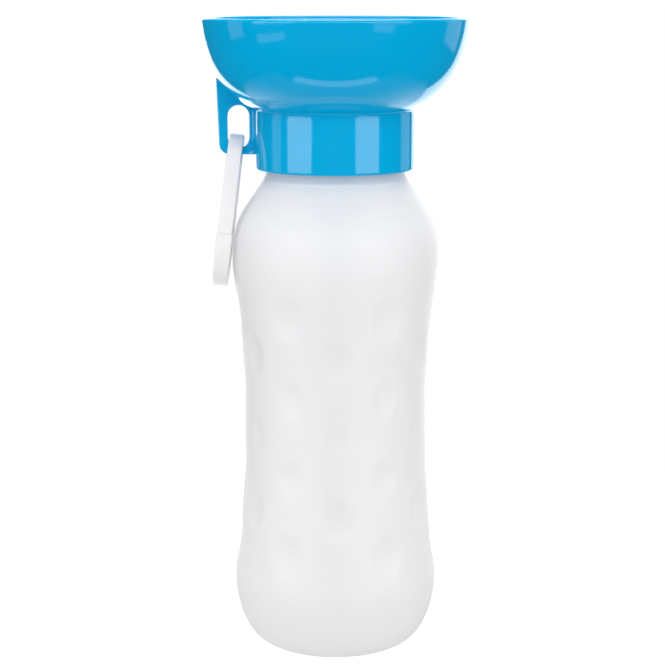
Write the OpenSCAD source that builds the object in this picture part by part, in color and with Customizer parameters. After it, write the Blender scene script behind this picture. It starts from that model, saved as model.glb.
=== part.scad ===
// Dog travel water bottle. A frosted squeeze bottle carries a drinking bowl that
// screws onto its neck. Under the bowl sits a twist valve with a funnel and a dip
// tube: the bowl is turned to line up the ports, the bottle is squeezed, and the
// water climbs the tube into the bowl. A belt clip hangs in the slot of the
// bowl's lug. Millimetres, +Z up, origin at the centre of the base, lug at -X.

/* [Bottle] */
// Radius of the standing ring under the base
base_r = 25.5; // [24:0.5:27]
// Width of the flat of the standing ring
base_ring_w = 3.5; // [2.5:0.5:5]
// Height of the hollow pushed up under the base
base_push = 4; // [3:0.5:6]
// Height at which the lower bulge is widest
hip_z = 26; // [24:1:28]
// Radius of the lower bulge
hip_r = 38.95; // [38.5:0.05:39.5]
// Height of the waist
waist_z = 92; // [88:1:96]
// Radius of the waist
waist_r = 34.7; // [34.2:0.1:35.2]
// Height at which the shoulder is widest
shoulder_z = 150.5; // [149:0.5:152]
// Radius of the shoulder
shoulder_r = 39.1; // [38.7:0.1:39.2]
// Height at which the shoulder runs into the neck
neck_z = 181.3; // [180.5:0.1:182]
// Outer radius of the neck
neck_r = 26.1; // [25.9:0.1:26.3]
// Height of the neck's lip
lip_z = 200.4; // [200:0.1:200.4]
// Wall of the bottle's body
body_wall = 1.2; // [1:0.1:1.4]
// Wall of the neck
neck_wall = 1.8; // [1.7:0.1:1.8]

/* [Grip dimples] */
// Columns of dimples round the body, with four and three dimples in turn
dimple_columns = 12; // [8:2:12]
// Height of the lowest dimple
dimple_first_z = 41.3; // [40:0.1:43]
// Height from one dimple to the next in a column
dimple_pitch = 30.1; // [29:0.1:31]
// Radius of the ball that shapes a dimple
dimple_ball_r = 25; // [22:1:28]
// Depth of the dimples halfway up
dimple_depth = 0.8; // [0.6:0.1:1]
// Depth added for each millimetre above or below halfway
dimple_gain = 0.0147; // [0.01:0.001:0.018]

/* [Bowl] */
// Height of the rim above the base, the height of the whole object
rim_z = 240; // [238:0.5:242]
// Wall of the bowl
bowl_wall = 2; // [1.8:0.1:2.2]
// Radius of the lower curve of the bowl's wall
bowl_low_r = 32.4; // [32:0.1:33]
// Radius of the upper curve of the bowl's wall
bowl_high_r = 56.9; // [54:0.1:60]
// Height of the bowl's floor, inside
floor_z = 206.4; // [206.2:0.1:206.8]
// Outer radius of the screw collar
collar_r = 30.25; // [30:0.05:30.5]
// Height of the collar's lower edge
collar_z = 184; // [183.5:0.5:185]
// Radius inside the collar
collar_bore_r = 27.7; // [27.5:0.1:28]

/* [Lug] */
// Thickness of the lug
lug_t = 3; // [2.6:0.1:3]
// Reach of the lug from the axis at its lower end
lug_reach = 43.5; // [43.2:0.1:44]
// Height of the lug's lower edge
lug_z = 189.3; // [189:0.1:189.4]
// Width of the slot
slot_w = 8; // [7.8:0.1:8.2]
// Distance of the slot's middle from the axis
slot_x = 36.3; // [36:0.1:36.5]
// Height of the slot's lower end
slot_low_z = 191.7; // [191.5:0.1:191.8]
// Height of the slot's upper end
slot_high_z = 207.7; // [207:0.1:208]

/* [Valve and tube] */
// Diameter of the dip tube
tube_d = 8; // [7:0.5:8.5]
// Wall of the dip tube
tube_wall = 0.8; // [0.6:0.1:1]
// Height of the dip tube's lower end
tube_low_z = 9; // [8:1:14]
// Radius of the water ports
port_r = 3.8; // [3:0.1:4]
// Distance of the ports from the axis
port_x = 13; // [12:0.5:15]

/* [Clip] */
// Length of the clip
clip_len = 57.7; // [56:0.1:58]
// Thickness of the clip's bar across the ring
bar_t = 5.4; // [5:0.1:5.4]
// Width of the clip's bar in the plane of the ring
bar_w = 4.2; // [4:0.1:4.3]
// Outer radius of the clip's upper bend
bend_top_r = 8; // [7.8:0.1:8.5]
// Outer radius of the clip's lower bend
bend_low_r = 13; // [12:0.5:14]
// Lean of the hanging clip on the bottle's shoulder, in degrees
lean = 7.0; // [7:0.1:7.8]
// Distance of the gate's nose below the swing point
nose_drop = 30.2; // [28:0.1:31]

/* [Hidden] */

$fn = 96;
blue = [0, 0.63, 0.86];
frosted = [0.92, 0.92, 0.93];
white = [0.95, 0.95, 0.95];
silicone = [0.86, 0.88, 0.9];
clear = [0.88, 0.93, 0.95];
steel = [0.7, 0.71, 0.73];

eps = 0.05;          // overlap of pieces that are joined into one solid
past = 1;            // how far a cutter runs past the face that it leaves

// The bottle's outline: [height, radius, slope] where its curve changes
hip_roll = 8;
shoulder_roll = 10.5;
shoulder_dome = 16.5;
stations = [
    [hip_z, hip_r, 0],
    [hip_z + hip_roll, hip_r - 0.95, -0.12],
    [waist_z, waist_r, 0],
    [shoulder_z - shoulder_roll, shoulder_r - 1, 0.145],
    [shoulder_z, shoulder_r, 0],
    [shoulder_z + shoulder_dome, shoulder_r - 3.5, -0.52],
    [neck_z, neck_r, -0.66]
];
station_steps = [2, 7, 6, 3, 5, 4];   // straight steps that each stretch is drawn with
heel_steps = 8;
push_steps = 4;
neck_bore_r = neck_r - neck_wall;
lip_round = 0.6;
dimple_turn = 1.5;                    // turn of the pattern from the front, in degrees
dimple_mid_z = dimple_first_z + 1.5 * dimple_pitch;

// The bowl's wall: two arcs that meet tangentially at blend_a below the level
blend_a = 20;
bowl_low_c = [17, 235.8];
bowl_high_c = bowl_low_c - (bowl_high_r - bowl_low_r) * [cos(blend_a), -sin(blend_a)];
arc_step = 6;
floor_t = 2.5;
floor_under_z = floor_z - floor_t;
lip_arc_steps = 4;
collar_chamfer = 0.4;

// The lug and its slot
lug_corner_r = 4.5;
lug_edge = 0.7;                       // chamfer round the slot and along the lug's foot
lug_root_r = 29;                      // where the lug starts, inside the collar's wall
lug_top_r = 44.6;                     // where the lug's edge meets the bowl's wall
lug_top_z = 219;

// The valve stack, from the bowl's floor down
seal_gap = 0.1;
seal_t = 1.5;
seal_r = 22;
seal_z = floor_under_z - seal_gap - seal_t;
disc_t = 1.4;
disc_r = 22.55;
disc_z = seal_z - disc_t;
flange_r = 25.7;
flange_z = lip_z + 0.1;
plug_r = neck_bore_r - 0.3;
plug_z = 193.5;
plug_bore_r = 20.2;
groove_r = 21.8;
groove_w = 2.8;
groove_z = 196;
oring_r = 1.2;
fit = 0.05;                           // running clearance of round fits
cone_top_r = 21.3;
cone_low_z = 156.6;
socket_r = 5.7;
socket_z = 147;
funnel_wall = 1.3;
post_r = 3;
post_head_r = 4.2;
post_head_h = 1.6;
post_slit = 1;

// The clip: its own frame has x down the clip, y across it and z through the ring
web_z = (lug_z + slot_low_z) / 2;     // middle of the web that the clip hangs on
swing_x = 37.6;
clip_top = -6.44;                     // top of the clip, above the swing point
bend_top_c = clip_top + bend_top_r;
bend_low_c = clip_top + clip_len - bend_low_r;
top_line_r = bend_top_r - bar_w / 2;
low_line_r = bend_low_r - bar_w / 2;
taper = asin((low_line_r - top_line_r) / (bend_low_c - bend_top_c));
side_len = (bend_low_c - bend_top_c) * cos(taper);
side_x0 = bend_top_c - top_line_r * sin(taper);
side_y0 = top_line_r * cos(taper);
bar_chamfer = 1.2;
hinge_s = 5;                          // hinge of the gate, along its side of the ring
nose_s = (nose_drop - side_x0) / cos(taper);
ear_r = 2.2;
ear_in = 1.4;                         // half the gap between the two ears
tongue_half = 1.3;                    // half the thickness of the gate's hinge tongue
hinge_gap = 0.25;
pin_r = 0.75;
spring_r = 1.45;
nose_grow = 0.15;
side_step = 0.02;                     // the sides are this much slimmer all round than the bends
side_lap = 0.4;                       // and run this far into them
nose_len = 6;
latch_len = 2;
latch_half = 1;

// ---------------------------------------------------------------- the bottle

// Height z between stations a and b on a cubic that keeps both slopes
function curve_r(a, b, z) =
    let (h = b[0] - a[0], t = (z - a[0]) / h)
    a[1] * (2 * t ^ 3 - 3 * t ^ 2 + 1) + h * a[2] * (t ^ 3 - 2 * t ^ 2 + t)
    + b[1] * (3 * t ^ 2 - 2 * t ^ 3) + h * b[2] * (t ^ 3 - t ^ 2);

function curve_slope(a, b, z) =
    let (h = b[0] - a[0], t = (z - a[0]) / h)
    (a[1] - b[1]) * (6 * t ^ 2 - 6 * t) / h + a[2] * (3 * t ^ 2 - 4 * t + 1)
    + b[2] * (3 * t ^ 2 - 2 * t);

function stretch(z, i = 0) =
    (i == len(stations) - 2 || z <= stations[i + 1][0]) ? i : stretch(z, i + 1);

function body_r(z) = let (i = stretch(z)) curve_r(stations[i], stations[i + 1], z);

function body_slope(z) = let (i = stretch(z)) curve_slope(stations[i], stations[i + 1], z);

// Outline from the middle of the base to the neck, moved in by a wall thickness
function body_outline(inset) = concat(
    [for (k = [0:push_steps])
        let (q = k / push_steps)
        [q * (base_r - base_ring_w), base_push * (1 - q * q) + inset]],
    [for (k = [0:heel_steps])
        let (a = 90 * k / heel_steps)
        [base_r + (hip_r - base_r - inset) * sin(a), hip_z - (hip_z - inset) * cos(a)]],
    [for (i = [0:len(stations) - 2], k = [1:station_steps[i]])
        let (low = stations[i][0],
             z = low + (stations[i + 1][0] - low) * k / station_steps[i],
             s = body_slope(z))
        [body_r(z) - inset * sqrt(1 + s * s), z]]
);

// Balls that press the dimples in; extra makes them bigger for the inner face
module dimple_balls(extra) {
    for (c = [0:dimple_columns - 1]) {
        tall = c % 2 == 0;
        first = dimple_first_z + (tall ? 0 : dimple_pitch / 2);
        turn = dimple_turn + 360 * (c + 1) / dimple_columns - 90;
        for (k = [0:(tall ? 3 : 2)]) {
            z = first + k * dimple_pitch;
            depth = dimple_depth + dimple_gain * abs(z - dimple_mid_z);
            slope = body_slope(z);
            reach = (dimple_ball_r - depth) / sqrt(1 + slope * slope);
            rotate([0, 0, turn])
                translate([body_r(z) + reach, 0, z - slope * reach])
                    sphere(r = dimple_ball_r + extra);
        }
    }
}

module bottle_cavity() {
    difference() {
        rotate_extrude()
            polygon(concat(body_outline(body_wall),
                [[neck_bore_r, neck_z + 0.2], [neck_bore_r, lip_z + past], [0, lip_z + past]]));
        dimple_balls(body_wall);
    }
}

module bottle() {
    color(frosted, 0.6)
        difference() {
            rotate_extrude()
                polygon(concat(body_outline(0),
                    [[neck_r, lip_z - lip_round], [neck_r - lip_round, lip_z], [0, lip_z]]));
            dimple_balls(0);
            bottle_cavity();
        }
}

// ------------------------------------------------------------------ the bowl

function arc(c, r, from, to, n) =
    [for (k = [0:n]) let (a = from + (to - from) * k / n) c + r * [cos(a), sin(a)]];

// The wall's curve from start_a up to the lip, moved in by inset
function wall_curve(inset, start_a) =
    let (low_r = bowl_low_r - inset,
         high_r = bowl_high_r - inset,
         end_a = asin((rim_z - bowl_wall / 2 - bowl_high_c[1]) / high_r),
         low_n = ceil((-blend_a - start_a) / arc_step))
    concat(arc(bowl_low_c, low_r, start_a, -blend_a, low_n),
           [for (k = [1:3])
               let (a = -blend_a + (end_a + blend_a) * k / 3)
               bowl_high_c + high_r * [cos(a), sin(a)]]);

module bowl_outside() {
    start_a = -acos((collar_r - bowl_low_c[0]) / bowl_low_r);
    outer = wall_curve(0, start_a);
    lip = outer[len(outer) - 1];
    rotate_extrude()
        polygon(concat(
            [[0, collar_z], [collar_r - collar_chamfer, collar_z],
             [collar_r, collar_z + collar_chamfer]],
            outer,
            arc(lip - [bowl_wall / 2, 0], bowl_wall / 2, 30, 180, lip_arc_steps),
            [[0, lip[1]]]));
}

module bowl_inside() {
    low_r = bowl_low_r - bowl_wall;
    start_a = -asin((bowl_low_c[1] - floor_z) / low_r);
    inner = wall_curve(bowl_wall, start_a);
    rotate_extrude()
        polygon(concat([[0, floor_z]], inner,
            [[inner[len(inner) - 1][0], rim_z + past], [0, rim_z + past]]));
}

// The slot of the lug with its chamfered edges
module slot_cut() {
    r = slot_w / 2;
    half = lug_t / 2;
    for (z = [slot_low_z + r, slot_high_z - r]) {
        translate([-slot_x, 0, z]) rotate([90, 0, 0]) {
            cylinder(r = r, h = lug_t + past, center = true);
            for (face = [0, 1]) mirror([0, 0, face])
                translate([0, 0, half - lug_edge])
                    cylinder(r1 = r, r2 = r + lug_edge + eps, h = lug_edge + eps);
        }
    }
    translate([-slot_x, 0, slot_low_z + r])
        linear_extrude(slot_high_z - slot_low_z - slot_w)
            for (side = [-1, 1], face = [-1, 1])
                polygon([[0, 0], [side * r, 0], [side * r, face * (half - lug_edge)],
                         [side * (r + lug_edge + eps), face * (half + eps)],
                         [0, face * (half + eps)]]);
}

module lug() {
    foot_c = [-lug_reach + lug_corner_r, lug_z + lug_corner_r];
    difference() {
        rotate([90, 0, 0])
            linear_extrude(lug_t, center = true)
                polygon(concat([[-lug_root_r, lug_z]], arc(foot_c, lug_corner_r, 270, 180, 12),
                    [[-lug_top_r, lug_top_z], [-lug_top_r, lug_top_z + 3],
                     [-lug_root_r, lug_top_z + 3]]));
        slot_cut();
        for (face = [-1, 1])
            translate([-slot_x, face * lug_t / 2, lug_z])
                rotate([45, 0, 0])
                    cube([3 * slot_w, lug_edge * sqrt(2), lug_edge * sqrt(2)], center = true);
    }
}

module bowl() {
    color(blue)
        difference() {
            union() {
                bowl_outside();
                lug();
            }
            bowl_inside();
            translate([0, 0, collar_z - past])
                cylinder(r = collar_bore_r, h = floor_under_z - collar_z + past);
            translate([0, 0, floor_under_z - past])
                cylinder(r = post_r + fit, h = floor_t + 2 * past);
            for (side = [-1, 1])
                translate([0, side * port_x, floor_under_z - past])
                    cylinder(r = port_r, h = floor_t + 2 * past);
        }
}

// ------------------------------------------------- the valve, funnel and tube

module water_ports(z, h) {
    for (side = [-1, 1])
        translate([side * port_x, 0, z])
            cylinder(r = port_r, h = h);
}

module valve_disc() {
    head_z = floor_z + seal_gap;
    color(blue)
        difference() {
            union() {
                translate([0, 0, disc_z])
                    cylinder(r = disc_r, h = disc_t);
                translate([0, 0, disc_z])
                    cylinder(r = post_r, h = head_z - disc_z + eps);
                translate([0, 0, head_z])
                    cylinder(r1 = post_head_r, r2 = post_r, h = post_head_h);
            }
            water_ports(disc_z - past, disc_t + 2 * past);
            translate([-post_slit / 2, -post_head_r - past, seal_z + seal_t])
                cube([post_slit, 2 * (post_head_r + past), floor_t + post_head_h + past]);
        }
}

module valve_seal() {
    color(silicone)
        difference() {
            translate([0, 0, seal_z])
                cylinder(r = seal_r, h = seal_t);
            translate([0, 0, seal_z - past])
                cylinder(r = post_r + fit, h = seal_t + 2 * past);
            water_ports(seal_z - past, seal_t + 2 * past);
        }
}

module funnel() {
    wall = funnel_wall;
    tube_r = tube_d / 2;
    color(blue)
        rotate_extrude()
            polygon([
                [disc_r + fit, seal_z], [flange_r, seal_z], [flange_r, flange_z],
                [plug_r, flange_z], [plug_r, groove_z + groove_w / 2],
                [groove_r, groove_z + groove_w / 2], [groove_r, groove_z - groove_w / 2],
                [plug_r, groove_z - groove_w / 2], [plug_r, plug_z + 0.5],
                [plug_r - 0.5, plug_z], [cone_top_r, plug_z], [socket_r, cone_low_z],
                [socket_r, socket_z], [tube_r, socket_z], [tube_r, cone_low_z - 1],
                [tube_r - tube_wall, cone_low_z - 1], [tube_r - tube_wall, cone_low_z + wall],
                [cone_top_r - 1.15 * wall, plug_z], [plug_bore_r, plug_z + 0.5],
                [plug_bore_r, disc_z], [disc_r + fit, disc_z]]);
}

module neck_oring() {
    color(silicone)
        rotate_extrude()
            translate([neck_bore_r - fit - oring_r, groove_z])
                circle(r = oring_r, $fn = 32);
}

module dip_tube() {
    color(clear, 0.7)
        translate([0, 0, tube_low_z])
            difference() {
                cylinder(d = tube_d, h = cone_low_z - 1 - tube_low_z, $fn = 48);
                translate([0, 0, -past])
                    cylinder(d = tube_d - 2 * tube_wall, h = cone_low_z + past, $fn = 48);
            }
}

// ------------------------------------------------------------------ the clip

// Puts a piece drawn in the clip's own frame where the clip hangs
module hung() {
    translate([-swing_x, 0, web_z])
        rotate([0, 90 + lean, 0])
            children();
}

// Section of the bar: an oblong with cut corners, w in the ring's plane
module bar_section(w = bar_w, t = bar_t) {
    c = bar_chamfer;
    x = w / 2;
    y = t / 2;
    polygon([[-x, -y + c], [-x + c, -y], [x - c, -y], [x, -y + c],
             [x, y - c], [x - c, y], [-x + c, y], [-x, y - c]]);
}

// Frame that runs along one side of the ring, from the end of the upper bend
module along_side(side) {
    translate([side_x0, side * side_y0, 0])
        rotate([0, 0, side * taper])
            children();
}

module bar(from, len, w = bar_w, t = bar_t) {
    translate([from, 0, 0])
        rotate([90, 0, 90])
            linear_extrude(len)
                bar_section(w, t);
}

module side_bar(from, len) {
    bar(from, len, bar_w - 2 * side_step, bar_t - 2 * side_step);
}

module bend(centre, line_r, from, turn) {
    translate([centre, 0, 0])
        rotate([0, 0, from])
            rotate_extrude(angle = turn)
                translate([line_r, 0])
                    bar_section();
}

module at_hinge() {
    along_side(-1)
        translate([hinge_s, 0, 0])
            children();
}

module clip_body() {
    color(white) hung()
        difference() {
            union() {
                bend(bend_top_c, top_line_r, 90 + taper, 180 - 2 * taper);
                bend(bend_low_c, low_line_r, -90 - taper, 180 + 2 * taper);
                along_side(1) side_bar(-side_lap, side_len + 2 * side_lap);
                along_side(-1) side_bar(-side_lap, hinge_s + side_lap);
                along_side(-1) side_bar(nose_s, side_len - nose_s + side_lap);
                along_side(-1) bar(nose_s, nose_len, bar_w + 2 * nose_grow, bar_t + 2 * nose_grow);
                at_hinge() cylinder(r = ear_r, h = bar_t, center = true);
            }
            at_hinge() cylinder(r = ear_r + hinge_gap, h = 2 * ear_in, center = true);
            at_hinge() cylinder(r = pin_r, h = bar_t + past, center = true, $fn = 32);
            // slot that the gate's latch shuts into, open towards the inside
            along_side(-1)
                translate([nose_s - past, -hinge_gap, -latch_half - hinge_gap])
                    cube([latch_len + hinge_gap + past, bar_w, 2 * (latch_half + hinge_gap)]);
        }
}

module clip_gate() {
    gate_end = nose_s - hinge_gap;
    color(white) hung()
        difference() {
            union() {
                at_hinge() cylinder(r = ear_r, h = 2 * tongue_half, center = true);
                along_side(-1) bar(hinge_s, gate_end - hinge_s);
                along_side(-1)
                    translate([gate_end - eps, 0.2, -latch_half])
                        cube([latch_len + hinge_gap + eps, bar_w / 2 - 0.5, 2 * latch_half]);
            }
            for (face = [0, 1]) mirror([0, 0, face])
                at_hinge()
                    translate([0, 0, tongue_half])
                        cylinder(r = ear_r + hinge_gap, h = bar_t);
            at_hinge() cylinder(r = pin_r + fit, h = bar_t, center = true, $fn = 32);
            at_hinge()
                translate([0, 0, -tongue_half - past])
                    cylinder(r = spring_r + fit, h = tongue_half + past, $fn = 32);
        }
}

module gate_pin() {
    color(steel) hung()
        at_hinge() cylinder(r = pin_r, h = bar_t, center = true, $fn = 32);
}

module gate_spring() {
    color(steel) hung()
        at_hinge()
            translate([0, 0, -tongue_half])
                difference() {
                    cylinder(r = spring_r, h = tongue_half - fit, $fn = 32);
                    translate([0, 0, -past])
                        cylinder(r = pin_r + fit, h = tongue_half + 2 * past, $fn = 32);
                }
}

bottle();
bowl();
valve_disc();
valve_seal();
funnel();
neck_oring();
dip_tube();
clip_body();
clip_gate();
gate_pin();
gate_spring();
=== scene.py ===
import math

import bpy
import numpy as np
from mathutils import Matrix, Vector

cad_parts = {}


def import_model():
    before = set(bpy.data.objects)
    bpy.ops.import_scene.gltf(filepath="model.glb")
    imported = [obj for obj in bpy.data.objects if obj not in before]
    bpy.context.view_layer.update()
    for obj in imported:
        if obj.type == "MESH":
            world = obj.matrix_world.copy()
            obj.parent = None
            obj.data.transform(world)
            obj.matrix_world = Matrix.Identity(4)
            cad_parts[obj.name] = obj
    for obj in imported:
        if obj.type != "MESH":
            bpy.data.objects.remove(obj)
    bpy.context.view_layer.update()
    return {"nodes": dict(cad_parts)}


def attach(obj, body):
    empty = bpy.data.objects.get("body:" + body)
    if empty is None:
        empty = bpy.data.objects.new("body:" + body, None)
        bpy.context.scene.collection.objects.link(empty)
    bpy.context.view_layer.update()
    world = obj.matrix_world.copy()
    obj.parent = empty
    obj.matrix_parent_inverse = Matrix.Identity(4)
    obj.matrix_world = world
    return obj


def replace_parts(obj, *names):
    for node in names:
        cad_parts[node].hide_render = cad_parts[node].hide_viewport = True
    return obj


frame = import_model()

# Shapes are worked out in millimetres; the camera, the lights and the materials are in metres.
MM = 0.001
TAU = 2 * math.pi


def linear(r, g, b):
    """A display colour from 0 to 255 as the linear colour that a shader takes."""
    return tuple(
        c / 255 / 12.92 if c / 255 <= 0.04045 else ((c / 255 + 0.055) / 1.055) ** 2.4
        for c in (r, g, b)
    ) + (1.0,)


# ------------------------------------------------------------------ camera

CAMERA_PLACE = (-0.0011, -0.6769, 0.2506)
CAMERA_TILT = 10.84  # degrees down from level

camera_data = bpy.data.cameras.new("camera")
camera_data.sensor_width = 36
camera_data.lens = 97.3
camera = bpy.data.objects.new("camera", camera_data)
camera.location = CAMERA_PLACE
camera.rotation_euler = (math.radians(90 - CAMERA_TILT), 0, 0)
bpy.context.collection.objects.link(camera)
bpy.context.scene.camera = camera
bpy.context.scene.view_settings.view_transform = "Standard"


# ------------------------------------------------------------------ materials

PATCH_SCALE = 45  # of the soft patches of shade, in cycles a metre
GRAIN_STRENGTH = 0.35


def emptied(owner, output):
    """Nodes, links and the first input of a new output node, for a new material or world."""
    owner.use_nodes = True
    nodes = owner.node_tree.nodes
    nodes.clear()
    return nodes, owner.node_tree.links, nodes.new(output).inputs[0]


def noise(nodes, links, scale, detail=3.0):
    """Noise in the object's own space, scale in cycles a metre."""
    place = nodes.new("ShaderNodeTexCoord")
    texture = nodes.new("ShaderNodeTexNoise")
    texture.inputs["Scale"].default_value = scale
    texture.inputs["Detail"].default_value = detail
    links.new(place.outputs["Object"], texture.inputs["Vector"])
    return texture.outputs["Fac"]


def spread(nodes, links, value, low, high, start=0.0, end=1.0):
    """low where value is start or less, high where it is end or more, and even between them."""
    node = nodes.new("ShaderNodeMapRange")
    for name, number in (
        ("From Min", start), ("From Max", end), ("To Min", low), ("To Max", high),
    ):
        node.inputs[name].default_value = number
    links.new(value, node.inputs["Value"])
    return node.outputs[0]


def ramp(nodes, links, axis, space, start, end, low, high):
    """low up to start and high from end, along one axis of a space of the texture coordinates."""
    place = nodes.new("ShaderNodeTexCoord")
    split = nodes.new("ShaderNodeSeparateXYZ")
    links.new(place.outputs[space], split.inputs[0])
    return spread(nodes, links, split.outputs[axis], low, high, start, end)


def painted_by_height(nodes, links, shown, painted_light_stops):
    """shown multiplied by (height, colour) stops up the object, the lowest first: painted light and
    shade that change with height.
    """
    low, high = painted_light_stops[0][0], painted_light_stops[-1][0]
    stops = nodes.new("ShaderNodeValToRGB")
    elements = stops.color_ramp.elements
    elements[0].color, elements[1].color = painted_light_stops[0][1], painted_light_stops[-1][1]
    for height, colour in painted_light_stops[1:-1]:
        elements.new((height - low) / (high - low)).color = colour
    links.new(ramp(nodes, links, "Z", "Object", low, high, 0.0, 1.0), stops.inputs[0])
    product = nodes.new("ShaderNodeMix")
    product.data_type, product.blend_type = "RGBA", "MULTIPLY"
    product.inputs["Factor"].default_value = 1.0
    links.new(shown, product.inputs["A"])
    links.new(stops.outputs["Color"], product.inputs["B"])
    return product.outputs["Result"]


def moulded(
    name, colour, other, rough, grain=0.000004, grain_scale=9000, painted_light_stops=None, **sockets,
):
    """Moulded plastic, rubber or metal: two close shades in soft patches, roughness that drifts
    between the two in rough, and a fine grain in the surface.

    grain is in metres and grain_scale in cycles a metre, the stops of painted light and shade are
    (height, colour) pairs up the object, the lowest first, and sockets are Principled inputs, with
    _ for spaces.
    """
    material = bpy.data.materials.new(name)
    nodes, links, surface = emptied(material, "ShaderNodeOutputMaterial")
    shader = nodes.new("ShaderNodeBsdfPrincipled")
    links.new(shader.outputs[0], surface)

    shade = nodes.new("ShaderNodeMix")
    shade.data_type = "RGBA"
    shade.inputs["A"].default_value = colour
    shade.inputs["B"].default_value = other
    links.new(noise(nodes, links, PATCH_SCALE), shade.inputs["Factor"])
    shown = shade.outputs["Result"]
    # the height stops paint light and shade over the shades
    if painted_light_stops:
        shown = painted_by_height(nodes, links, shown, painted_light_stops)
    links.new(shown, shader.inputs["Base Color"])

    drift = noise(nodes, links, PATCH_SCALE * 4)
    links.new(spread(nodes, links, drift, *rough), shader.inputs["Roughness"])

    bump = nodes.new("ShaderNodeBump")
    bump.inputs["Strength"].default_value = GRAIN_STRENGTH
    bump.inputs["Distance"].default_value = grain
    links.new(noise(nodes, links, grain_scale, 2.0), bump.inputs["Height"])
    links.new(bump.outputs[0], shader.inputs["Normal"])

    for socket, value in sockets.items():
        shader.inputs[socket.replace("_", " ")].default_value = value
    return material


blue_gloss = moulded(
    "blue_gloss", linear(0, 166, 219), linear(0, 169, 222), (0.07, 0.11),
    grain=0.000001, IOR=1.47,
)
frosted = moulded(
    "frosted_bottle", linear(254, 254, 255), linear(251, 251, 253), (0.46, 0.52),
    grain_scale=5000,
    painted_light_stops=[  # painted light and shade: the side below the shoulder painted a little darker than the shoulder, and a painted bluish shade at the neck under the collar
        (0.12, (0.92, 0.92, 0.92, 1)), (0.157, (0.94, 0.94, 0.94, 1)), (0.17, (1, 1, 1, 1)),
        (0.176, (1, 1, 1, 1)), (0.182, (0.77, 0.85, 0.94, 1)),
    ],
    IOR=1.4, Specular_IOR_Level=0.35, Transmission_Weight=0.18,
)
frosted_inside = moulded(
    "frosted_inside", linear(252, 252, 253), linear(250, 250, 252), (0.1, 0.16),
    grain=0.000002, grain_scale=3000, IOR=1.4, Transmission_Weight=1.0,
)
white_plastic = moulded(
    "white_plastic", linear(236, 234, 235), linear(232, 230, 231), (0.45, 0.55), IOR=1.45,
)
silicone = moulded(
    "silicone", linear(226, 228, 230), linear(217, 220, 223), (0.5, 0.62), IOR=1.42,
)
clear_tube = moulded(
    "clear_tube", linear(238, 241, 244), linear(230, 234, 238), (0.12, 0.2),
    IOR=1.46, Transmission_Weight=0.8,
)
steel = moulded(
    "steel", linear(196, 198, 200), linear(182, 184, 187), (0.22, 0.34), Metallic=1.0,
)


# ------------------------------------------------------------------ mesh helpers, in millimetres

SHARP = math.radians(38)  # edges that turn by more than this stay sharp
CORNER = math.radians(20)  # corners that turn by more than this are rounded
CREASE = math.radians(8)  # turns of more than this get guard points


def meshed(name, points, faces):
    """A mesh object, linked, from points in millimetres."""
    mesh = bpy.data.meshes.new(name)
    mesh.from_pydata((np.asarray(points, float) * MM).tolist(), [], faces)
    obj = bpy.data.objects.new(name, mesh)
    bpy.context.collection.objects.link(obj)
    return obj


def piece(name, points, faces, body, material):
    """A smooth mesh object that rides on a CAD body, from points in millimetres."""
    obj = meshed(name, points, faces)
    obj.data.validate()
    obj.data.shade_smooth()
    obj.data.set_sharp_from_angle(angle=SHARP)
    obj.data.materials.append(material)
    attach(obj, body)
    return obj


def lofted(rings, loop=False):
    """Points and faces of a skin over rings of equal length. A loop joins the last ring to the
    first; otherwise each end closes on its middle."""
    rings = np.asarray(rings, float)
    count, around = rings.shape[:2]
    points = rings.reshape(-1, 3).tolist()
    here = np.arange(around)
    after = (here + 1) % around
    faces = []
    for i in range(count if loop else count - 1):
        a, b = i * around, (i + 1) % count * around
        faces += np.stack([a + here, a + after, b + after, b + here], axis=1).tolist()
    if not loop:
        for i, first, second in ((0, after, here), (count - 1, here, after)):
            middle = np.full(around, len(points))
            points.append(rings[i].mean(axis=0).tolist())
            faces += np.stack([i * around + first, i * around + second, middle], axis=1).tolist()
    return points, faces


def turned(profile, around):
    """Rings about the Z axis from a profile of (radius, height)."""
    angles = np.arange(around) / around * TAU
    return np.array([[(r * math.cos(a), r * math.sin(a), z) for a in angles] for r, z in profile])


def arc(centre, radius, start, end, steps):
    """Points on an arc in the plane of a profile, angles in degrees."""
    return [
        (centre[0] + radius * math.cos(a), centre[1] + radius * math.sin(a))
        for a in map(math.radians, np.linspace(start, end, steps + 1))
    ]


def rounded(profile, radius, steps=3):
    """An open profile with each corner cut to a curve of about this radius."""
    points = [np.array(p, float) for p in profile]
    made = [points[0]]
    for last, here, following in zip(points, points[1:], points[2:]):
        before, after = last - here, following - here
        la, lb = np.linalg.norm(before), np.linalg.norm(after)
        turn = math.pi - math.acos(max(-1, min(1, before @ after / (la * lb))))
        if turn < CORNER:
            made.append(here)
            continue
        cut = min(radius * math.tan(turn / 2), 0.45 * la, 0.45 * lb)
        a, b = here + before / la * cut, here + after / lb * cut
        for t in np.linspace(0, 1, steps + 1):
            made.append((1 - t) ** 2 * a + 2 * t * (1 - t) * here + t * t * b)
    made.append(points[-1])
    return made


def divided(profile, step, guard=0.12):
    """A closed profile with no stretch longer than step. A stretch next to a crease gets a point
    at guard from it, so that the crease's shading stays off the stretch."""
    points = [np.array(p, float) for p in profile]
    count = len(points)
    lines = [points[(i + 1) % count] - points[i] for i in range(count)]
    lengths = [np.linalg.norm(line) for line in lines]
    creased = [
        lines[i - 1] @ lines[i] < math.cos(CREASE) * lengths[i - 1] * lengths[i]
        for i in range(count)
    ]
    made = []
    for i, (line, length) in enumerate(zip(lines, lengths)):
        marks = np.linspace(0, 1, max(1, math.ceil(length / step)) + 1)[:-1].tolist()
        if length > 6 * guard:
            if creased[i]:
                marks.insert(1, guard / length)
            if creased[(i + 1) % count]:
                marks.append(1 - guard / length)
        made += [points[i] + line * t for t in marks]
    return made


# ------------------------------------------------------------------ the screw thread

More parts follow.
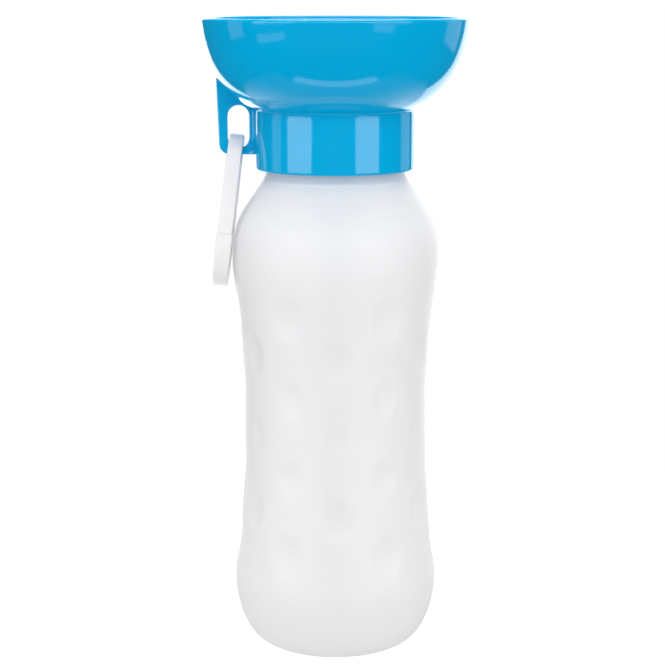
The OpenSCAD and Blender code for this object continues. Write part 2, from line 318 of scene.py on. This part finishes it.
THREAD_PITCH, THREAD_TURNS, THREAD_START = 4.23, 1.25, 187.5
NECK_RIDGE, BORE_RIDGE = 1.1, -1.05  # heights of the ridges, inwards in the bore
RIDGE_FLANK, RIDGE_REACH = 0.62, 1.55  # width of a flank; from middle to foot, in flanks
RIDGE_FADE = 0.35  # radians in which a ridge rises at each end


def thread(points, height, phase):
    """Raises a helical ridge on points of a turned surface, by height, and phase further up."""
    angle = np.arctan2(points[..., 1], points[..., 0]) % TAU
    radius = np.hypot(points[..., 0], points[..., 1])
    rise = np.zeros(radius.shape)
    for turn in (0, 1):
        along = angle + turn * TAU
        middle = THREAD_START + phase + THREAD_PITCH * along / TAU
        flank = np.clip(RIDGE_REACH - np.abs(points[..., 2] - middle) / RIDGE_FLANK, 0, 1)
        start = np.clip(along / RIDGE_FADE, 0, 1)
        end = np.clip((THREAD_TURNS * TAU - along) / RIDGE_FADE, 0, 1)
        rise = np.maximum(rise, flank * flank * (3 - 2 * flank) * start * end)
    made = points.copy()
    made[..., :2] *= (1 + height * rise / radius)[..., None]
    return made


# ------------------------------------------------------------------ the bottle

BOTTLE_AROUND = 288
STATIONS = [  # height, radius, slope
    (26, 38.95, 0), (34, 38.0, -0.12), (92, 34.7, 0), (140, 38.1, 0.145),
    (150.5, 39.1, 0), (167, 35.6, -0.52), (181.3, 26.1, -0.66),
]
PUSH_R, PUSH_UP = 22, 4  # of the pushed-up base
FOOT_R, HEEL_OUT, HEEL_UP = 25.5, 13.45, 26
BOTTLE_WALL = 1.2
NECK_R, NECK_BORE, NECK_Z, LIP_Z = 26.1, 24.3, 183, 200.4

DIMPLE_COLUMNS = 12
DIMPLE_AZIMUTH = 1.5 - 90  # degrees, of the column before the first
DIMPLE_ROWS = ((41.3, 4), (56.35, 3))  # lowest height and count, in every other column
DIMPLE_STEP = 30.1  # from row to row
DIMPLE_DEPTH, DIMPLE_GAIN, DIMPLE_MIDDLE = 0.8, 0.0147, 86.45  # deeper away from the middle
DIMPLE_BALL, DIMPLE_SOFT = 25.0, 0.3  # radius of the ball pressed in, depth of its soft edge


def body_radius(z):
    """Radius of the bottle's side at height z, on cubics through STATIONS."""
    for (za, ra, sa), (zb, rb, sb) in zip(STATIONS, STATIONS[1:]):
        if z <= zb:
            break
    h = zb - za
    t = (z - za) / h
    return (
        ra * (2 * t**3 - 3 * t**2 + 1) + sa * h * (t**3 - 2 * t**2 + t)
        + rb * (3 * t**2 - 2 * t**3) + sb * h * (t**3 - t**2)
    )


def dimples():
    """Angle, height and depth of each pressed-in dimple, its centre on the side's surface."""
    for column in range(DIMPLE_COLUMNS):
        low, count = DIMPLE_ROWS[column % 2]
        angle = math.radians(DIMPLE_AZIMUTH + 360 / DIMPLE_COLUMNS * (column + 1))
        for row in range(count):
            z = low + DIMPLE_STEP * row
            yield angle, z, DIMPLE_DEPTH + DIMPLE_GAIN * abs(z - DIMPLE_MIDDLE)


def pressed(points, normals):
    """How deep the dimples press in at each point, with their edges softened."""
    ball, soft = DIMPLE_BALL, DIMPLE_SOFT
    depth = np.zeros(points.shape[:-1])
    for angle, z, d in dimples():
        slope = body_radius(z + 0.5) - body_radius(z - 0.5)
        length = math.hypot(1, slope)
        normal = np.array([math.cos(angle) / length, math.sin(angle) / length, -slope / length])
        r = body_radius(z)
        centre = np.array([r * math.cos(angle), r * math.sin(angle), z]) + normal * (ball - d)
        v = points - centre
        across = (v * normals).sum(axis=-1)
        inside = across**2 - (v * v).sum(axis=-1) + ball**2
        t = across + np.sqrt(np.maximum(inside, 0))
        t = np.where((inside > 0) & (across < 0), t, -1.0)
        soft_t = np.where(np.abs(t) < soft, (t + soft) ** 2 / (4 * soft), np.maximum(t, 0))
        depth = np.maximum(depth, soft_t)
    return depth


def bottle():
    """The shell: its outside from the base's middle to the lip, and its inside back down."""
    base = [(PUSH_R * q, PUSH_UP * (1 - q * q)) for q in (0.12, 0.3, 0.5, 0.7, 0.85, 0.95)]
    base += [(21.6, 0.16), (22.4, 0.0), (24.6, 0.0)]
    heel = [
        (FOOT_R + HEEL_OUT * math.sin(a), HEEL_UP - HEEL_UP * math.cos(a))
        for a in np.linspace(0.02, math.pi / 2, 26)
    ]
    side = [(body_radius(z), z) for z in np.arange(26.8, 180.2, 0.85)]
    fillet = [(27.05, 180.35), (26.55, 180.95), (26.25, 181.6), (26.12, 182.4)]
    neck = [(NECK_R, z) for z in np.arange(NECK_Z, LIP_Z - 0.8, 0.3)]
    lip = rounded(
        [(NECK_R, LIP_Z - 0.8), (NECK_R, LIP_Z), (NECK_BORE, LIP_Z), (NECK_BORE, LIP_Z - 1)],
        0.5,
    )
    inner_neck = [(NECK_BORE, z) for z in np.arange(197, 183.5, -3.0)]

    line = np.array(base + heel + side + fillet + neck)
    tangent = np.gradient(line, axis=0)
    tangent /= np.linalg.norm(tangent, axis=1)[:, None]
    normal = np.stack([tangent[:, 1], -tangent[:, 0]], axis=1)

    def swept(keep, inset):
        """Rings of the outside profile's points in keep, each moved inwards by inset."""
        angles = np.arange(BOTTLE_AROUND) / BOTTLE_AROUND * TAU
        cos, sin = np.cos(angles), np.sin(angles)
        r, z = line[keep, 0][:, None], line[keep, 1][:, None]
        nr, nz = normal[keep, 0][:, None], normal[keep, 1][:, None]
        points = np.stack([r * cos, r * sin, z + 0 * cos], axis=-1)
        normals = np.stack([nr * cos, nr * sin, nz + 0 * cos], axis=-1)
        dimpled = (z > 27) & (z < 150) & (r > 30)
        return points - normals * (pressed(points, normals) * dimpled + inset)[..., None]

    outer = swept(np.arange(len(line)), 0.0)
    outer = np.where(outer[..., 2:] > NECK_Z, thread(outer, NECK_RIDGE, 0), outer)
    # every second point of the side and the heel, then the base
    top, heel_foot = len(base) + len(heel) + len(side) - 2, len(base) + 2
    inner_rows = np.concatenate([np.arange(top, heel_foot + 1, -2), [heel_foot, 6, 4, 2, 0]])
    inner = swept(inner_rows, BOTTLE_WALL)
    rings = np.concatenate([outer, turned(lip + inner_neck, BOTTLE_AROUND), inner])

    points, faces = lofted(rings)
    obj = piece("bottle_shell", points, faces, "bottle", frosted)
    obj.data.materials.append(frosted_inside)
    first_inside = (len(outer) + len(lip)) * BOTTLE_AROUND
    index = [int(face.vertices[0] >= first_inside) for face in obj.data.polygons]
    obj.data.polygons.foreach_set("material_index", index)
    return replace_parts(obj, "bottle")


bottle()


# ------------------------------------------------------------------ the bowl, collar and lug

BOWL_AROUND = 256
COLLAR_R, COLLAR_BORE, COLLAR_Z, COLLAR_TOP = 30.25, 27.7, 184.0, 206.23
MEET = -20  # degrees on the low arc of the bowl's side, where the high arc follows
LOW_C, LOW_R, HIGH_R = (17.0, 235.8), 32.4, 56.9
HIGH_C = (
    LOW_C[0] - (HIGH_R - LOW_R) * math.cos(math.radians(MEET)),
    LOW_C[1] - (HIGH_R - LOW_R) * math.sin(math.radians(MEET)),
)
BOWL_WALL, RIM_Z, RIM_ROUND, FLOOR_Z, FLOOR_T = 2.0, 240.0, 1.0, 206.4, 2.5
POST_HOLE_R, PORT_R, PORT_Y = 3.05, 3.8, 13.0


def outside_r(z):
    """Radius of the bowl's outside at height z, from the collar up."""
    if z < COLLAR_TOP:
        return COLLAR_R
    r = LOW_C[0] + math.sqrt(max(0, LOW_R**2 - (z - LOW_C[1]) ** 2))
    if math.atan2(z - LOW_C[1], r - LOW_C[0]) > math.radians(MEET):
        r = HIGH_C[0] + math.sqrt(HIGH_R**2 - (z - HIGH_C[1]) ** 2)
    return r


def wall_line(inset, height):
    """The bowl's side as a profile, inset from the outside, from a height up to the rim."""
    start = math.degrees(math.asin((height - LOW_C[1]) / (LOW_R - inset)))
    end = math.degrees(math.asin((RIM_Z - RIM_ROUND - HIGH_C[1]) / (HIGH_R - inset)))
    low = arc(LOW_C, LOW_R - inset, start, MEET, 22)
    return low[:-1] + arc(HIGH_C, HIGH_R - inset, MEET, end, 16)


def bowl_profile():
    """Closed section of the bowl with its collar: up the outside, over the rim and back down."""
    outside = wall_line(0, COLLAR_TOP)[1:]
    inside = wall_line(BOWL_WALL, FLOOR_Z)
    collar = rounded(
        [(COLLAR_BORE, COLLAR_Z), (COLLAR_R, COLLAR_Z), (COLLAR_R, COLLAR_TOP), outside[0]],
        0.8, 4,
    )[1:-1]
    rim_c = (outside[-1][0] + inside[-1][0]) / 2
    rim_r = (outside[-1][0] - inside[-1][0]) / 2
    rim = [
        (rim_c + rim_r * math.cos(a), RIM_Z - RIM_ROUND + RIM_ROUND * math.sin(a))
        for a in np.linspace(0.25, math.pi - 0.25, 9)
    ]
    under = FLOOR_Z - FLOOR_T
    floor_and_bore = rounded(
        [inside[1], (inside[0][0] - 0.1, FLOOR_Z), (POST_HOLE_R, FLOOR_Z), (POST_HOLE_R, under),
         (COLLAR_BORE, under), (COLLAR_BORE, COLLAR_Z), (COLLAR_R, COLLAR_Z)],
        0.45,
    )[1:-1]
    return collar + outside + rim + inside[:0:-1] + floor_and_bore


def bowl():
    """The bowl with its collar, the ridge in the collar's bore and the floor's two ports."""
    profile = divided(bowl_profile(), 2.0)
    rings = turned(profile, BOWL_AROUND)
    # finer rings in the bore, for a ridge half a pitch from the neck's
    in_bore = [r < COLLAR_BORE + 0.05 and z < FLOOR_Z - FLOOR_T - 0.6 for r, z in profile]
    fine = []
    for i, ring in enumerate(rings):
        fine.append(ring)
        j = (i + 1) % len(rings)
        if in_bore[i] and in_bore[j]:
            fine += [ring + (rings[j] - ring) * k / 6 for k in range(1, 6)]
    rings = np.array(fine)
    radius = np.hypot(rings[..., 0], rings[..., 1])
    ridged = (np.abs(radius - COLLAR_BORE) < 0.01) & (rings[..., 2] < 203)
    rings = np.where(ridged[..., None], thread(rings, BORE_RIDGE, THREAD_PITCH / 2), rings)
    points, faces = lofted(rings, loop=True)
    obj = piece("bowl_shell", points, faces, "bowl", blue_gloss)

    # ports with countersunk edges
    port, port_faces = lofted(turned([
        (PORT_R, FLOOR_Z - FLOOR_T - 1), (PORT_R, FLOOR_Z - 0.35),
        (PORT_R + 0.12, FLOOR_Z - 0.12), (PORT_R + 0.6, FLOOR_Z + 0.15),
        (PORT_R + 0.6, FLOOR_Z + 1),
    ], 48))
    cutters = []
    for side in (-1, 1):
        cutter = meshed("port_cut", [(x, y + side * PORT_Y, z) for x, y, z in port], port_faces)
        cut = obj.modifiers.new("port", "BOOLEAN")
        cut.operation, cut.solver, cut.object = "DIFFERENCE", "EXACT", cutter
        cutters.append(cutter)
    graph = bpy.context.evaluated_depsgraph_get()
    made = bpy.data.meshes.new_from_object(obj.evaluated_get(graph), depsgraph=graph)
    obj.modifiers.clear()
    obj.data = made
    made.set_sharp_from_angle(angle=SHARP)
    for cutter in cutters:
        bpy.data.objects.remove(cutter)
    return obj


LUG_HALF, LUG_EDGE, LUG_FILLET = 1.5, 0.6, 1.1
SLOT_X, SLOT_LOW, SLOT_HIGH, SLOT_R = -36.3, 195.7, 203.7, 4.0
LUG_OUTLINE = rounded([(-29.0, 189.3), (-43.5, 189.3), (-44.6, 219.0)], 4.5, 8) + [
    np.array([1.0 - outside_r(z), z]) for z in np.linspace(218.6, 207.0, 12)
] + [np.array([-29.0, 205.8])]


def reach(origin, direction, outline):
    """Distance from origin along direction to a closed outline."""
    best = 1e9
    for a, b in zip(outline, outline[1:] + outline[:1]):
        edge = b - a
        cross = direction[0] * edge[1] - direction[1] * edge[0]
        if abs(cross) < 1e-12:
            continue
        d = a - origin
        t = (d[0] * edge[1] - d[1] * edge[0]) / cross
        s = (d[0] * direction[1] - d[1] * direction[0]) / cross
        if t > 1e-9 and -1e-9 <= s <= 1 + 1e-9:
            best = min(best, t)
    return best


def lug_half(x, z, edge):
    """Half thickness at a point of the lug's plate, edge from its own border."""
    e = min(edge, LUG_EDGE)
    h = LUG_HALF - LUG_EDGE + math.sqrt(max(0, LUG_EDGE**2 - (LUG_EDGE - e) ** 2))
    gap = -x - outside_r(z)
    if gap < LUG_FILLET:
        h += LUG_FILLET - math.sqrt(LUG_FILLET**2 - (LUG_FILLET - max(gap, 0)) ** 2)
    return h


def lug():
    """The slotted web: a plate swept round its slot, with rounded edges and a small fillet
    against the bowl."""
    stations = []
    for z, other_z, start, side in (
        (SLOT_HIGH, SLOT_LOW, 0, -1.0), (SLOT_LOW, SLOT_HIGH, math.pi, 1.0),
    ):
        for a in np.linspace(start, start + math.pi, 25):
            stations.append((SLOT_X, z, math.cos(a), math.sin(a)))
        stations += [(SLOT_X, along, side, 0.0) for along in np.linspace(z, other_z, 11)[1:-1]]

    ends = [0, 0.06, 0.16, 0.3, 0.45, LUG_EDGE]
    rings = []
    for station in stations:
        origin, direction = np.array(station[:2]), np.array(station[2:])
        near, far = SLOT_R, reach(origin, direction, LUG_OUTLINE)
        steps = [near + e for e in ends]
        steps += list(np.linspace(near + LUG_EDGE, far - LUG_EDGE, 16))[1:-1]
        steps += [far - e for e in ends[::-1]]
        if far - near < 2.2 * LUG_EDGE:
            steps = list(np.linspace(near, far, len(steps)))
        front, back = [], []
        for s in steps:
            x, z = origin + direction * s
            h = lug_half(x, z, min(s - near, far - s))
            front.append((x, -h, z))
            back.append((x, h, z))
        rings.append(front + back[::-1])
    points, faces = lofted(rings, loop=True)
    return piece("bowl_lug", points, faces, "bowl", blue_gloss)


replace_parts(bowl(), "bowl")
lug()


# ------------------------------------------------------------------ the belt clip

SWING = Vector((-37.6, 0, 190.5))
LEAN = math.radians(90 + 7.0)
CLIP_TOP, CLIP_LEN = -6.44, 57.7
BAR_W, BAR_T, BAR_EDGE = 4.2, 5.4, 0.6
TOP_R, LOW_BEND_R = 8.0, 13.0
TOP_BEND_C, LOW_BEND_C = CLIP_TOP + TOP_R, CLIP_TOP + CLIP_LEN - LOW_BEND_R
TAPER = math.asin((LOW_BEND_R - TOP_R) / (LOW_BEND_C - TOP_BEND_C))
TOP_LINE, LOW_LINE = TOP_R - BAR_W / 2, LOW_BEND_R - BAR_W / 2
SIDE_X0, SIDE_Y0 = TOP_BEND_C - TOP_LINE * math.sin(TAPER), TOP_LINE * math.cos(TAPER)
SIDE_LEN = (LOW_BEND_C - LOW_LINE * math.sin(TAPER) - SIDE_X0) / math.cos(TAPER)

NOSE_DROP = 30.2
NOSE_S = (NOSE_DROP - SIDE_X0) / math.cos(TAPER)
NOSE_GROW, NOSE_BEVEL, POCKET_DEPTH = 0.5, 0.35, 2.2
LATCH = ((0, 1.6, 2.0), (2.0, 1.5, 1.9), (2.2, 1.2, 1.6))  # distance, width and thickness
SMALL_EDGE = 0.3  # of the pocket and the latch

HINGE_S, EAR_R, HINGE_GAP = 5.0, 2.12, 0.02
CUT_BACK = 0.31  # slope that the hinge's inner side is cut to, so that the gate can open
CHEEK_UP, CHEEK_IN = 1.6, 1.4
TONGUE_DOWN, TONGUE_HALF = 4.2, 1.7
TONGUE_LAYERS = ((-1.38, 0.02), (-1.36, 0), (1.36, 0), (1.38, 0.02))  # height and inset


def hung(points):
    """Points of the clip's own frame, x down the clip, y across and z through its ring, put
    where it hangs."""
    p = np.asarray(points, float)
    c, s = math.cos(LEAN), math.sin(LEAN)
    return np.stack([
        p[..., 0] * c + p[..., 2] * s + SWING.x,
        p[..., 1] + SWING.y,
        -p[..., 0] * s + p[..., 2] * c + SWING.z,
    ], axis=-1)


def clip_piece(name, rings, body):
    """A closed white piece of the clip, from rings in the clip's own frame."""
    points, faces = lofted(rings)
    return piece(name, hung(points), faces, body, white_plastic)


def on_side(s, side):
    """Place and direction at distance s along one straight side of the ring."""
    along = np.array([math.cos(TAPER), side * math.sin(TAPER)])
    return np.array([SIDE_X0, side * SIDE_Y0]) + along * s, along


HINGE, DOWN = on_side(HINGE_S, -1)
ACROSS = np.array([-DOWN[1], DOWN[0]])


def at_hinge(u, v, z):
    """The point u down the gate's side from the hinge, v across it and z through the ring."""
    return (*(HINGE + DOWN * u + ACROSS * v), z)


def section(w, t, radius=BAR_EDGE):
    """Rounded oblong as (across the ring's plane, through it)."""
    steps = 5
    made = []
    for quarter, (sx, sz) in enumerate(((1, 1), (-1, 1), (-1, -1), (1, -1))):
        for k in range(steps + 1):
            a = math.pi / 2 * (quarter + k / steps)
            made.append((
                sx * (w / 2 - radius) + radius * math.cos(a),
                sz * (t / 2 - radius) + radius * math.sin(a),
            ))
    return made


def swept_bar(rows):
    """Rings from rows, each a (place, direction) in the ring's plane and a section."""
    rings = []
    for (place, along), outline in rows:
        across = np.array([-along[1], along[0]])
        rings.append([(*(place + across * u), v) for u, v in outline])
    return rings


def bend(centre, radius, start, end):
    """Places and directions round one bend of the ring, angles in degrees."""
    turn = math.copysign(1, end - start)
    return [
        (
            np.array([centre + radius * math.cos(a), radius * math.sin(a)]),
            np.array([-math.sin(a), math.cos(a)]) * turn,
        )
        for a in np.radians(np.linspace(start, end, 40))
    ]


def end_rows(place, edge):
    """Rows that round off the gate's lower end at place."""
    rows = []
    for k in range(5):
        a = math.pi / 2 * k / 4
        inset = edge * (1 - math.cos(a))
        middle = place + DOWN * (-edge + edge * math.sin(a))
        rows.append(((middle, DOWN), section(BAR_W - 2 * inset, BAR_T - 2 * inset)))
    return rows


def hinge_rings(way):
    """Rings that end a bar in a hollow round the hinge, from the bar to the hollow: the gate's
    for way 1, the ring's above it for way -1."""
    rings = []
    for depth, inset in ((0.08, 0), (0.03, 0.01), (0.0, 0.02)):
        ring = []
        for u, v in section(BAR_W - 2 * inset, BAR_T - 2 * inset):
            hollow = max(math.sqrt((EAR_R + HINGE_GAP) ** 2 - u * u), CUT_BACK * u) + depth
            ring.append(at_hinge(way * hollow, u, v))
        rings.append(ring)
    return rings


def plate_rings(end, half, way, layers):
    """Rings of a plate from a straight end, half as wide on each side, to a round end about the
    hinge that points down for way 1. layers are (height, inset)."""
    outline = [(end, way * half), (end, -way * half)]
    outline += [
        (way * EAR_R * math.sin(a), -way * EAR_R * math.cos(a)) for a in np.linspace(0, math.pi, 25)
    ]
    rings = []
    for z, inset in layers:
        shrink = (EAR_R - inset) / EAR_R
        rings.append([at_hinge(u * shrink, v * shrink, z) for u, v in outline])
    return rings


def clip_body():
    """The ring, from its nose round both bends to the hinge, and the hinge's two cheeks."""
    plain = section(BAR_W, BAR_T)
    grown = section(BAR_W + NOSE_GROW, BAR_T + NOSE_GROW)
    pocket = section(2.4, 2.6, SMALL_EDGE)
    taper = math.degrees(TAPER)
    # the nose: the pocket that takes the gate's latch, the bevelled end, the thicker bar
    rows = [(on_side(NOSE_S + s, -1), pocket) for s in (POCKET_DEPTH, 0)]
    rows += [(on_side(NOSE_S, -1), plain), (on_side(NOSE_S + NOSE_BEVEL, -1), grown)]
    rows += [(on_side(NOSE_S + s, -1), grown) for s in (1.5, 3, 4.5, 6)]
    for k, step in enumerate(bend(LOW_BEND_C, LOW_LINE, -90 - taper, 90 + taper)):
        left = NOSE_GROW * max(0, 1 - k / 12) ** 2
        rows.append((step, section(BAR_W + left, BAR_T + left)))
    for s in np.linspace(SIDE_LEN - 0.5, 0.5, 14):
        place, along = on_side(s, 1)
        rows.append(((place, -along), plain))
    rows += [(step, plain) for step in bend(TOP_BEND_C, TOP_LINE, 90 + taper, 270 - taper)]
    rows += [(on_side(s, -1), plain) for s in (0.5, 1.2, 2)]
    body = clip_piece("clip_ring", swept_bar(rows) + hinge_rings(-1), "clip")

    layers = [(CHEEK_IN, 0.03), (CHEEK_IN + 0.03, 0)] + [
        (BAR_T / 2 - BAR_EDGE * (1 - math.sin(a)), BAR_EDGE * (1 - math.cos(a)))
        for a in np.linspace(0, math.pi / 2, 6)
    ]
    for name, side in (("clip_ear_near", 1), ("clip_ear_far", -1)):
        placed = [(side * z, inset) for z, inset in layers[::side]]
        clip_piece(name, plate_rings(-EAR_R - CHEEK_UP, EAR_R, 1, placed), "clip")
    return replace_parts(body, "clip_body")


def clip_gate():
    """The sprung gate, with the latch that enters the nose, and its tongue at the hinge."""
    first, last = HINGE_S + EAR_R + 0.8, NOSE_S - 0.02
    rows = [(on_side(s, -1), section(BAR_W, BAR_T)) for s in np.linspace(first, last - 0.8, 10)]
    rows += end_rows(on_side(last, -1)[0], 0.03)
    rows += [(on_side(last + s, -1), section(w, t, SMALL_EDGE)) for s, w, t in LATCH]
    gate = clip_piece("gate_bar", hinge_rings(1)[::-1] + swept_bar(rows), "gate")
    tongue = plate_rings(TONGUE_DOWN, TONGUE_HALF, -1, TONGUE_LAYERS)
    clip_piece("gate_tongue", tongue, "gate")
    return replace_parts(gate, "clip_gate")


clip_body()
clip_gate()


# ------------------------------------------------------------------ pieces that keep their solids

for node, material in {
    "valve_disc": white_plastic,
    "valve_seal": silicone,
    "funnel": blue_gloss,
    "neck_oring": silicone,
    "dip_tube": clear_tube,
    "gate_pin": steel,
    "gate_spring": steel,
}.items():
    for material_slot in frame["nodes"][node].material_slots:
        material_slot.material = material


# ------------------------------------------------------------------ studio

FLOOR_R, FLOOR_DROP = 0.3, 0.0002
PAPER_SHADE, PAPER_GLOW = 0.4, 0.8
AIM = Vector((0, 0, 0.13))
CARD_DISTANCE = 0.9


def mixed(nodes, links, factor, low, high):
    """low where factor is 0 and high where it is 1, each a number or a socket."""
    node = nodes.new("ShaderNodeMix")
    links.new(factor, node.inputs["Factor"])
    for name, value in (("A", low), ("B", high)):
        if isinstance(value, float):
            node.inputs[name].default_value = value
        else:
            links.new(value, node.inputs[name])
    return node.outputs["Result"]


def floor():
    """White paper that glows to the camera, so that it ends in white but keeps the object's
    shadow. As light it is even. A gloss sees painted shade and light on it: dark in front,
    brighter towards the back and fading out to both sides."""
    bpy.ops.mesh.primitive_circle_add(
        vertices=96, radius=FLOOR_R, fill_type="NGON", location=(0, 0, -FLOOR_DROP),
    )
    obj = bpy.context.object
    obj.name = "floor"
    material = bpy.data.materials.new("floor")
    nodes, links, surface = emptied(material, "ShaderNodeOutputMaterial")
    path = nodes.new("ShaderNodeLightPath")
    # painted shade in front and painted light behind, which only reflections show
    gloss = ramp(nodes, links, "Y", "Object", -0.11, -0.095, 0.0, 0.35)
    for other in (
        ramp(nodes, links, "Y", "Object", -0.03, 0.15, 1.0, 5.3),
        ramp(nodes, links, "X", "Object", 0.14, 0.28, 1.0, 0.0),
        ramp(nodes, links, "X", "Object", -0.28, -0.14, 0.0, 1.0),
    ):
        product = nodes.new("ShaderNodeMath")
        product.operation = "MULTIPLY"
        links.new(gloss, product.inputs[0])
        links.new(other, product.inputs[1])
        gloss = product.outputs[0]
    light = nodes.new("ShaderNodeEmission")
    strength = mixed(nodes, links, path.outputs["Is Glossy Ray"], 1.0, gloss)
    links.new(strength, light.inputs["Strength"])
    paper = nodes.new("ShaderNodeBsdfDiffuse")
    paper.inputs["Color"].default_value = (PAPER_SHADE, PAPER_SHADE, PAPER_SHADE, 1)
    glow = nodes.new("ShaderNodeEmission")
    glow.inputs["Strength"].default_value = PAPER_GLOW
    both = nodes.new("ShaderNodeAddShader")
    links.new(paper.outputs[0], both.inputs[0])
    links.new(glow.outputs[0], both.inputs[1])
    pick = nodes.new("ShaderNodeMixShader")
    links.new(path.outputs["Is Camera Ray"], pick.inputs[0])
    links.new(light.outputs[0], pick.inputs[1])
    links.new(both.outputs[0], pick.inputs[2])
    links.new(pick.outputs[0], surface)
    obj.data.materials.append(material)


def world():
    """White to the camera and through clear pieces, and nearly dark to a gloss, which sees the
    cards. As light it is dim from the front and fuller from behind."""
    made = bpy.data.worlds.new("studio")
    bpy.context.scene.world = made
    nodes, links, surface = emptied(made, "ShaderNodeOutputWorld")
    path = nodes.new("ShaderNodeLightPath")
    strength = ramp(nodes, links, "Y", "Generated", -0.2, 0.6, 0.23, 0.7)
    strength = mixed(nodes, links, path.outputs["Is Glossy Ray"], strength, 0.03)
    for kind in ("Is Transmission Ray", "Is Camera Ray"):
        strength = mixed(nodes, links, path.outputs[kind], strength, 1.0)
    light = nodes.new("ShaderNodeBackground")
    light.inputs["Color"].default_value = (1, 1, 1, 1)
    links.new(strength, light.inputs["Strength"])
    links.new(light.outputs[0], surface)


def softbox(name, azimuth, distance, low, high, width, level):
    """A box light from height low to high that faces AIM, azimuth in degrees round from the
    camera's side. level is its brightness, whatever its size."""
    data = bpy.data.lights.new(name, "AREA")
    data.shape = "RECTANGLE"
    data.size, data.size_y = width, high - low
    data.energy = level * 4 * width * (high - low)
    light = bpy.data.objects.new(name, data)
    a = math.radians(azimuth)
    light.location = (math.sin(a) * distance, -math.cos(a) * distance, (low + high) / 2)
    light.rotation_euler = (AIM - light.location).to_track_quat("-Z", "Y").to_euler()
    bpy.context.collection.objects.link(light)
    return light


def card(name, azimuth, distance, low, high, width, level):
    """A softbox that only a gloss sees."""
    light = softbox(name, azimuth, distance, low, high, width, level)
    light.visible_camera = light.visible_diffuse = light.visible_transmission = False
    return light


floor()
world()

for name, azimuth, low, high, width, level in (
    ("back_card", 175, -0.9, 0.9, 1.38, 2.2),
    ("rim_card", 0, 0.29, 0.46, 1.1, 4.5),
    ("left_card", -52, 0.06, 0.6, 0.64, 2.7),
    ("right_card", 45.5, 0.06, 0.6, 0.6, 2.6),
    ("left_skirt", -56, -0.12, -0.03, 0.42, 0.8),
    ("right_skirt", 40, -0.03, 0.06, 0.28, 0.8),
    ("left_strip", -91, -0.05, 0.7, 0.28, 0.63),
    ("right_strip", 117, -0.05, 0.7, 0.40, 0.63),
):
    card(name, azimuth, CARD_DISTANCE, low, high, width, level)
# this one lies on the floor in front of the bottle and faces up
card("floor_card", 0, 0.12, -0.019, 0.021, 0.27, 1.4).rotation_euler = (math.pi, 0, 0)

# lamps that light without a highlight
for name, azimuth, distance, low, high, width, level in (
    ("front_fill", 0, 1.6, -0.1, 0.9, 1.4, 0.85),
    ("left_fill", -78, 1.6, 0.2, 1.2, 1.4, 1.45),
    ("right_fill", 78, 1.6, 0.2, 1.2, 1.4, 1.45),
    ("low_fill", 0, 1.2, -0.55, -0.1, 2.0, 0.95),
    ("high_fill", 0, 0.9, 0.65, 1.15, 1.0, 2.65),
):
    softbox(name, azimuth, distance, low, high, width, level).visible_glossy = False

softbox("top_box", 180, 0.15, 0.6, 1.3, 0.7, 2.5).rotation_euler = (0, 0, 0)
